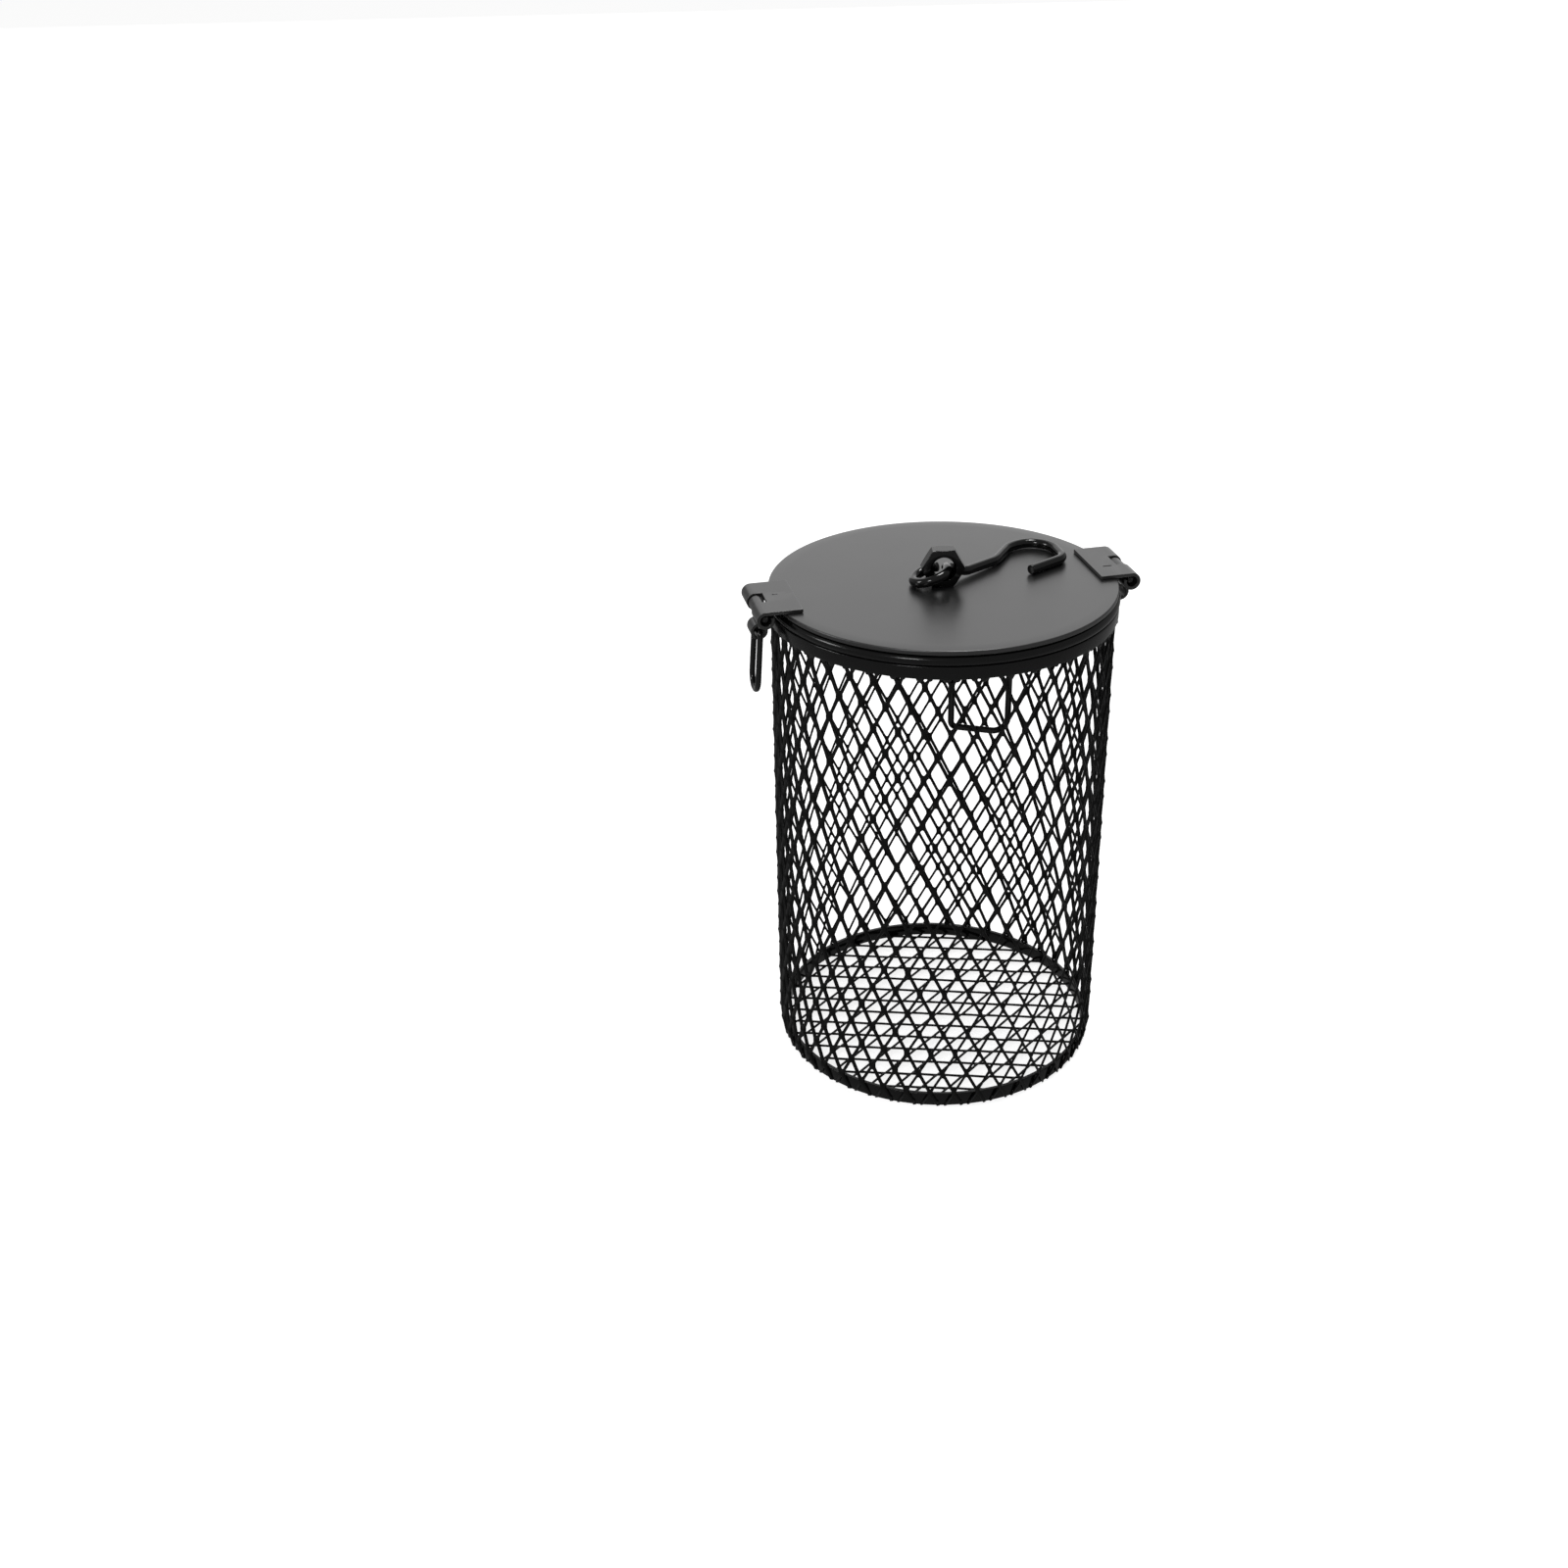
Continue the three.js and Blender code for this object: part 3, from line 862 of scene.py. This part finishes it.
    def _welds(self, shop: Workshop) -> None:
        """Puts a flattened blob of weld where each strand meets the collar and the foot ring.

        Formula: a blob is a small ball, squeezed along the radius; strands of the two families cross
        a level at angles that run on by a half pitch for each half row. The welds are given as depth
        under the collar, or level above the ground, then radius and size.
        """
        pitch = 2 * math.pi / self.wall_columns
        steps = np.arange(self.wall_columns)
        collar = node_box("collar_band")[0][2]
        below, *collar_weld = self.collar_weld
        turns, rows = [], []
        for level, radius, size in ((collar - below, *collar_weld), self.foot_weld):
            rise = (level - self.first_hole_level) / self.row_height
            for family in (1, -1):
                turns.append(math.radians(self.first_hole_turn) + (steps + 0.5 + family * rise) * pitch)
                rows.append(np.tile([level, radius, size], (self.wall_columns, 1)))
        turn = np.concatenate(turns)
        level, radius, size = np.concatenate(rows).T
        lump = 1 + sum(height * np.sin(turn * waves) for height, waves in self.weld_lumps)
        rings, sides = 7, 8
        up, around = np.meshgrid(
            np.radians(np.linspace(-90, 90, rings)), np.arange(sides) * 2 * np.pi / sides, indexing="ij"
        )
        ball = np.stack([np.cos(up) * np.cos(around), np.cos(up) * np.sin(around), np.sin(up)], -1)
        ball = ball * self.weld_shape * self.weld_radius
        scaled = ball[None] * (size * lump)[:, None, None, None]
        out, along = scaled[..., 0] + radius[:, None, None], scaled[..., 1]
        cos, sin = np.cos(turn)[:, None, None], np.sin(turn)[:, None, None]
        points = np.stack(
            [out * cos - along * sin, out * sin + along * cos, scaled[..., 2] + level[:, None, None]], -1
        )
        faces = grid_faces(rings, sides, False, True)
        offsets = np.arange(len(turn))[:, None, None] * (rings * sides)
        surface = Surface(points.reshape(-1, 3), (faces[None] + offsets).reshape(-1, 4).tolist())
        shop.fit(make_piece("strand_welds", surface, 80), Body.CAGE, Slot.BODY)


# ---------------------------------------------------------------- lid and fittings


@dataclass
class LidPlate:
    """The flat round lid."""

    edge_round: float = 0.3
    under_round: float = 0.15
    crown: float = 0.05

    def build(self, shop: Workshop) -> None:
        """Turns the lid, whose top sinks by the crown's height from its middle to its edge.

        Args:
            shop: Where it is painted.
        """
        low, high = node_box("lid_disc")
        radius, fillet, under = high[0], self.edge_round, self.under_round
        spokes = np.linspace(0, radius - fillet, 14)
        sink = self.crown * (spokes / radius) ** 2
        upper = arc((radius - fillet, high[2] - sink[-1] - fillet), fillet, 90, 0, 6)
        lower = arc((radius - under, low[2] + under), under, 0, -90, 4)
        top = np.stack([spokes, high[2] - sink], -1)
        section = np.vstack([top[:-1], upper, lower, [[0, low[2]]]])
        piece = make_piece("lid_plate", turned(section, 256, closed=False), 40)
        shop.fit(piece, Body.LID, Slot.LID, "lid_disc")


@dataclass
class CurledFitting:
    """A hinge or clasp: a slotted leaf on the lid, a pin, and a strip with a knuckle and a tail curl.

    The slot root is how far from the pin's axis the slot ends; the slit is in, out, near and far.
    """

    name: str
    side: int
    joint: str
    leaf_node: str
    pin_node: str
    strip_node: str
    pin_body: Body
    strip_body: Body
    slit: tuple[float, float, float, float]
    sheet: float = 0.7
    curl: float = 1.43
    strip_sheet: float = 0.6
    strip_curl: float = 1.2
    slot_root: float = 1.3
    slot_half: float = 2.35
    pin_radius: float = 0.7
    pin_tip: float = 0.25
    edge: float = 0.12

    EDGE_ROW = 0.4
    CURL_POINTS = 48
    SLIT_ROW = 2
    SLOT_ROW = 4

    def build(self, shop: Workshop) -> None:
        """Makes the leaf, the pin and the strip.

        Args:
            shop: Where they are painted.
        """
        place = joint_place(self.joint)
        self.axis = (abs(place[0]), place[2])
        self._leaf(shop)
        self._strip(shop)
        self._pin(shop)

    def _sided(self, middle: np.ndarray) -> np.ndarray:
        """The same line on this fitting's side of the cage."""
        return middle * [self.side, 1]

    def _leaf(self, shop: Workshop) -> None:
        """Cuts the slot for the middle knuckle and a small slit, and curls both ears round the pin."""
        low, high = node_box(self.leaf_node)
        inner = min(abs(low[0]), abs(high[0]))
        level = high[2] - self.sheet / 2
        slit_in, slit_out, slit_near, slit_far = self.slit
        root = self.axis[0] - self.slot_root
        near_edge, curl_start = inner + self.EDGE_ROW, self.axis[0] - 0.3
        flat = np.array([inner, near_edge, slit_in, slit_out, root, root + 0.5, curl_start])
        middle = np.vstack(
            [
                np.stack([flat, np.full(len(flat), level)], -1),
                arc(self.axis, self.curl, 90, -200, self.CURL_POINTS),
            ]
        )
        centre, half = (low[1] + high[1]) / 2, (high[1] - low[1]) / 2
        slot, rim = self.slot_half, self.EDGE_ROW
        ends = [-half, -half + rim, -slot - rim, -slot, slot, slot + rim, half - rim, half]
        across = np.sort(np.append(centre + np.array(ends), [slit_near, slit_far]))
        cell_y = (across[1:] + across[:-1])[None] / 2
        row = np.arange(len(middle) - 1)[:, None]
        in_slot = (row >= self.SLOT_ROW) & (np.abs(cell_y - centre) < slot)
        in_slit = (row == self.SLIT_ROW) & (cell_y > slit_near) & (cell_y < slit_far)
        surface = bent_sheet(self._sided(middle), across, ~(in_slot | in_slit), self.sheet)
        piece = make_piece(f"{self.name}_leaf_plate", surface, 180)
        soften(piece, self.edge)
        shop.fit(piece, Body.LID, Slot.FITTING, self.leaf_node)

    def _strip(self, shop: Workshop) -> None:
        """Curls the strip inwards round the pin at its top and outwards at its tail."""
        low, high = node_box(self.strip_node)
        reach = self.curl + self.strip_sheet / 2
        tail = (max(abs(low[0]), abs(high[0])) - reach, low[2] + reach)
        middle = np.vstack(
            [
                arc(self.axis, self.strip_curl, -110, 180, self.CURL_POINTS),
                arc(tail, self.curl, 180, 460, self.CURL_POINTS),
            ]
        )
        across = np.linspace(low[1], high[1], 5)
        kept = np.ones((len(middle) - 1, len(across) - 1), bool)
        surface = bent_sheet(self._sided(middle), across, kept, self.strip_sheet)
        piece = make_piece(f"{self.name}_strip", surface, 180)
        soften(piece, self.edge)
        shop.fit(piece, self.strip_body, Slot.FITTING, self.strip_node)

    def _pin(self, shop: Workshop) -> None:
        """A plain pin with rounded ends."""
        low, high = node_box(self.pin_node)
        tip = self.pin_tip
        x = self.side * self.axis[0]
        ends = np.array([[x, low[1] + tip, self.axis[1]], [x, high[1] - tip, self.axis[1]]])
        surface = wire(evenly(ends, 1.0), self.pin_radius, (0, 0, 1), sides=28, tip=tip)
        shop.fit(make_piece(f"{self.name}_pin_round", surface, 60), self.pin_body, Slot.WIRE, self.pin_node)


@dataclass
class PullLoop:
    """The wire loop that hangs in the clasp's tail curl."""

    wire_radius: float = 0.6
    end_gap: float = 0.15
    top_half: float = 2.9
    drop: float = 12.9
    lean: float = 4.0
    top_bend: float = 0.8
    bottom_bend_share: float = 0.9

    def build(self, shop: Workshop) -> None:
        """Bends the loop.

        Formula: a point with a given drop lies drop times the sine of the lean outside the tail
        curl's axis, and drop times the cosine of the lean below it.

        Args:
            shop: Where it is painted.
        """
        low, high = node_box("pull_loop")
        x, middle, level = joint_place("pull_loop_swing")
        half, top = (high[1] - low[1]) / 2 - self.wire_radius, self.top_half
        outline = [
            (-self.end_gap, 0),
            (-top, 0),
            (-half, self.drop),
            (half, self.drop),
            (top, 0),
            (self.end_gap, 0),
        ]
        lean = math.radians(self.lean)
        corners = [
            (x - down * math.sin(lean), middle + y, level - down * math.cos(lean)) for y, down in outline
        ]
        wide_bend = half * self.bottom_bend_share
        path = evenly(bent_path(corners, [self.top_bend, wide_bend, wide_bend, self.top_bend]), 0.25)
        surface = wire(path, self.wire_radius, (1, 0, 0), sides=20, tip=0.05)
        shop.fit(make_piece("pull_wire", surface, 60), Body.PULL_LOOP, Slot.WIRE, "pull_loop")


@dataclass
class HookAndNut:
    """The nut on the lid and the wire hook whose eye is linked through it."""

    yaw: float = -11.0
    thick: float = 3.2
    hole: float = 2.2
    thread_pitch: float = 0.8
    thread_depth: float = 0.28
    bore_lead: float = 0.4
    mouth_clear: float = 0.12
    cone_start: float = 0.96
    cone_angle: float = 30.0
    hook_wire: float = 1.0
    eye: float = 3.3
    eye_shift: float = 0.85
    eye_drop: float = 0.55
    lie: float = 1.05

    def build(self, shop: Workshop) -> None:
        """Makes the nut and the hook.

        Args:
            shop: Where they are painted.
        """
        low, high = node_box("hook_nut")
        self.centre = (low + high) / 2
        self.flats = high[2] - low[2]
        self.lid_top = node_box("lid_disc")[1][2]
        self._nut(shop)
        self._hook(shop)

    def _nut(self, shop: Workshop) -> None:
        """Hexagonal nut with coned corners and a threaded hole, its axis level.

        Formula: the outside's radius is half the flats over cos(a), a being the angle from the
        nearest flat's middle; each end face falls away at the cone angle outside a circle a little
        under the flats. The hole's radius rises and falls once for each thread pitch along the
        axis, and by a pitch for each turn.
        """
        half = self.flats / 2
        turn = np.linspace(0, 2 * np.pi, 96, endpoint=False)[:, None]
        from_flat = turn % (np.pi / 3) - np.pi / 6
        outside = half / np.cos(from_flat)
        mouth = self.hole + self.thread_depth + self.mouth_clear
        face = self.thick / 2
        flat_edge = half * self.cone_start
        fall = math.tan(math.radians(self.cone_angle)) * np.clip(outside - flat_edge, 0, None)
        depth = np.linspace(-face + self.bore_lead, face - self.bore_lead, 33)[None]
        phase = (depth / self.thread_pitch + turn / (2 * np.pi)) % 1
        bore = self.hole + self.thread_depth * (1 - np.abs(2 * phase - 1))
        same = np.ones_like(turn)
        front = [(mouth * same, face * same), (flat_edge * same, face * same), (outside, face - fall)]
        back = [(radius, -along) for radius, along in reversed(front)]
        radii = np.concatenate([bore, *[r for r, _ in front], *[r for r, _ in back]], 1)
        along = np.concatenate([depth * same, *[z for _, z in front], *[z for _, z in back]], 1)
        x, up = radii * np.cos(turn), radii * np.sin(turn)
        surface = grid_surface(np.stack([x, along, up], -1), True, True)
        yaw = math.radians(self.yaw)
        spin = np.array([[math.cos(yaw), math.sin(yaw), 0], [-math.sin(yaw), math.cos(yaw), 0], [0, 0, 1]])
        surface.points = surface.points @ spin + self.centre
        piece = make_piece("threaded_nut", surface, 32)
        soften(piece, width=0.08)
        shop.fit(piece, Body.LID, Slot.WIRE, "hook_nut")

    def _place(self, along: np.ndarray, through: np.ndarray, level: np.ndarray) -> np.ndarray:
        """Points given along the nut's face, through its hole, and in height."""
        yaw = math.radians(self.yaw)
        x = self.centre[0] + along * math.cos(yaw) - through * math.sin(yaw)
        y = self.centre[1] + along * math.sin(yaw) + through * math.cos(yaw)
        return np.stack(np.broadcast_arrays(x, y, level), -1)

    def _hook(self, shop: Workshop) -> None:
        """Bends the hook: an eye in a plane that rises to the nut's hole, a shank and a crook.

        Formula: the eye is a circle from 62 to 360 degrees whose height grows evenly from its far
        side, on the lid, to the hole.
        """
        hole_level = self.lid_top + self.flats / 2 - self.eye_drop
        lie_level = self.lid_top + self.lie
        turn = np.radians(np.linspace(62, 360, 90))
        share = (1 + np.cos(turn)) / 2
        eye = self._place(
            self.eye_shift - self.eye + self.eye * np.cos(turn),
            self.eye * np.sin(turn),
            lie_level + (hole_level - lie_level) * share,
        )
        corners = [
            eye[-1],
            self._place(self.eye_shift, 3.1, hole_level - 0.5),
            (4.8, 0.5, lie_level + 0.3),
            (12.8, 5.4, lie_level),
            (18.9, 13.6, lie_level),
            (26.8, 12.4, lie_level),
            (26.6, 2.9, lie_level),
            (18.1, -1.5, lie_level),
        ]
        shank = bent_path(corners, [1.7, 3, 6, 6, 5.2, 3])
        path = evenly(np.vstack([eye, shank]), 0.3)
        surface = wire(path, self.hook_wire, (0, 0, 1), sides=28, tip=0.18)
        shop.fit(make_piece("hook_wire", surface, 60), Body.HOOK, Slot.WIRE, "hanging_hook")


# ---------------------------------------------------------------- studio


@dataclass
class Studio:
    """Pale floor, soft lights and the camera. Lengths here are in metres."""

    floor_radius: float = 40.0
    distance: float = 0.34537
    height: float = 0.24199
    pitch: float = 0.4875
    yaw: float = -0.0949
    roll: float = -0.0236
    lens: float = 42.144
    turn: float = 17.0

    def build(self) -> None:
        """Sets up the floor, the sky, the panels and the camera."""
        self._floor()
        self._sky()
        self._panel("panel_behind", (-0.2, 1.9, 1.0), size=2.2, radiance=0.72)
        self._panel("panel_above", (0.1, 0.1, 0.9), size=0.25, radiance=16.0)
        self._panel("panel_left", (-0.9, -0.2, 0.5), size=0.25, radiance=9.0)
        self._panel("panel_front", (-0.35, -0.9, 0.75), size=0.22, radiance=16.0)
        self._camera()

    def _turned(self, place: Sequence[float]) -> Vector:
        """A place seen from the camera's side, as a place in the object's frame."""
        return Matrix.Rotation(math.radians(-self.turn), 3, "Z") @ Vector(place)

    def _floor(self) -> None:
        """A wide pale disc just under the cage, which glows a little so that no shade shows on it."""
        radii = np.array([0.0, 0.3, 1.0, self.floor_radius]) / MM
        section = np.stack([radii, np.full(len(radii), -0.02)], -1)
        floor = make_piece("studio_floor", turned(section, 64, closed=False), 180)
        bench = Bench("pale_floor")
        inputs = {
            "Base Color": (0.6, 0.6, 0.6, 1.0),
            "Roughness": 0.9,
            "Specular IOR Level": 0.0,
            "Emission Color": (1.0, 1.0, 1.0, 1.0),
            "Emission Strength": 0.8,
        }
        floor.data.materials.append(bench.close(bench.node("ShaderNodeBsdfPrincipled", {}, inputs)))
        floor.visible_glossy = False

    def _sky(self) -> None:
        """An even dim surround, so that the panels give most of the light."""
        world = bpy.data.worlds.new("white_surround")
        world.use_nodes = True
        background = world.node_tree.nodes["Background"]
        background.inputs["Color"].default_value = (1.0, 1.0, 1.0, 1.0)
        background.inputs["Strength"].default_value = 0.26
        bpy.context.scene.world = world

    def _panel(self, name: str, place: Sequence[float], size: float, radiance: float) -> None:
        """A square soft light that faces the cage.

        Args:
            name: Its name.
            place: Where it stands, seen from the camera's side.
            size: Its side.
            radiance: How bright its face is; its power is that times pi times its area.
        """
        light = bpy.data.lights.new(name, "AREA")
        light.size = size
        light.energy = radiance * math.pi * size * size
        panel = bpy.data.objects.new(name, light)
        panel.location = self._turned(place)
        aim = Vector((0, 0, 0.08)) - panel.location
        panel.rotation_euler = aim.to_track_quat("-Z", "Y").to_euler()
        bpy.context.scene.collection.objects.link(panel)

    def _camera(self) -> None:
        """Places the camera from its bearing round the cage, height, pitch, yaw and roll."""
        cos_pitch = math.cos(self.pitch)
        forward = Vector(
            (math.sin(self.yaw) * cos_pitch, math.cos(self.yaw) * cos_pitch, -math.sin(self.pitch))
        )
        level = Vector((math.cos(self.yaw), -math.sin(self.yaw), 0))
        above = level.cross(forward)
        right = level * math.cos(self.roll) + above * math.sin(self.roll)
        up = above * math.cos(self.roll) - level * math.sin(self.roll)
        axes = [self._turned(axis) for axis in (right, up, -forward)]
        matrix = Matrix(axes).transposed().to_4x4()
        matrix.translation = self._turned((0, -self.distance, self.height))
        data = bpy.data.cameras.new("camera")
        data.lens = self.lens
        data.sensor_width = 36.0
        data.clip_start = 0.01
        camera = bpy.data.objects.new("camera", data)
        camera.matrix_world = matrix
        bpy.context.scene.collection.objects.link(camera)
        bpy.context.scene.camera = camera


def main() -> None:
    """Builds every sub-assembly in order."""
    logging.basicConfig(level=logging.INFO, format="%(message)s")
    shop = Workshop()
    hinge = CurledFitting(
        name="hinge", side=1, joint="lid_hinge", leaf_node="lid_hinge_leaf", pin_node="hinge_pin",
        strip_node="cage_hinge_leaf", pin_body=Body.CAGE, strip_body=Body.CAGE,
        slit=(32.9, 34.7, -2.9, -2.6),
    )
    clasp = CurledFitting(
        name="clasp", side=-1, joint="clasp_pivot", leaf_node="lid_clasp_leaf", pin_node="clasp_pin",
        strip_node="clasp_clip", pin_body=Body.LID, strip_body=Body.CLASP,
        slit=(33.9, 35.0, -0.2, 0.1),
    )
    for assembly in (Basket(), LidPlate(), hinge, clasp, PullLoop(), HookAndNut()):
        assembly.build(shop)
    Studio().build()
    bpy.context.scene.view_settings.view_transform = "Standard"


if __name__ == "__main__":
    main()
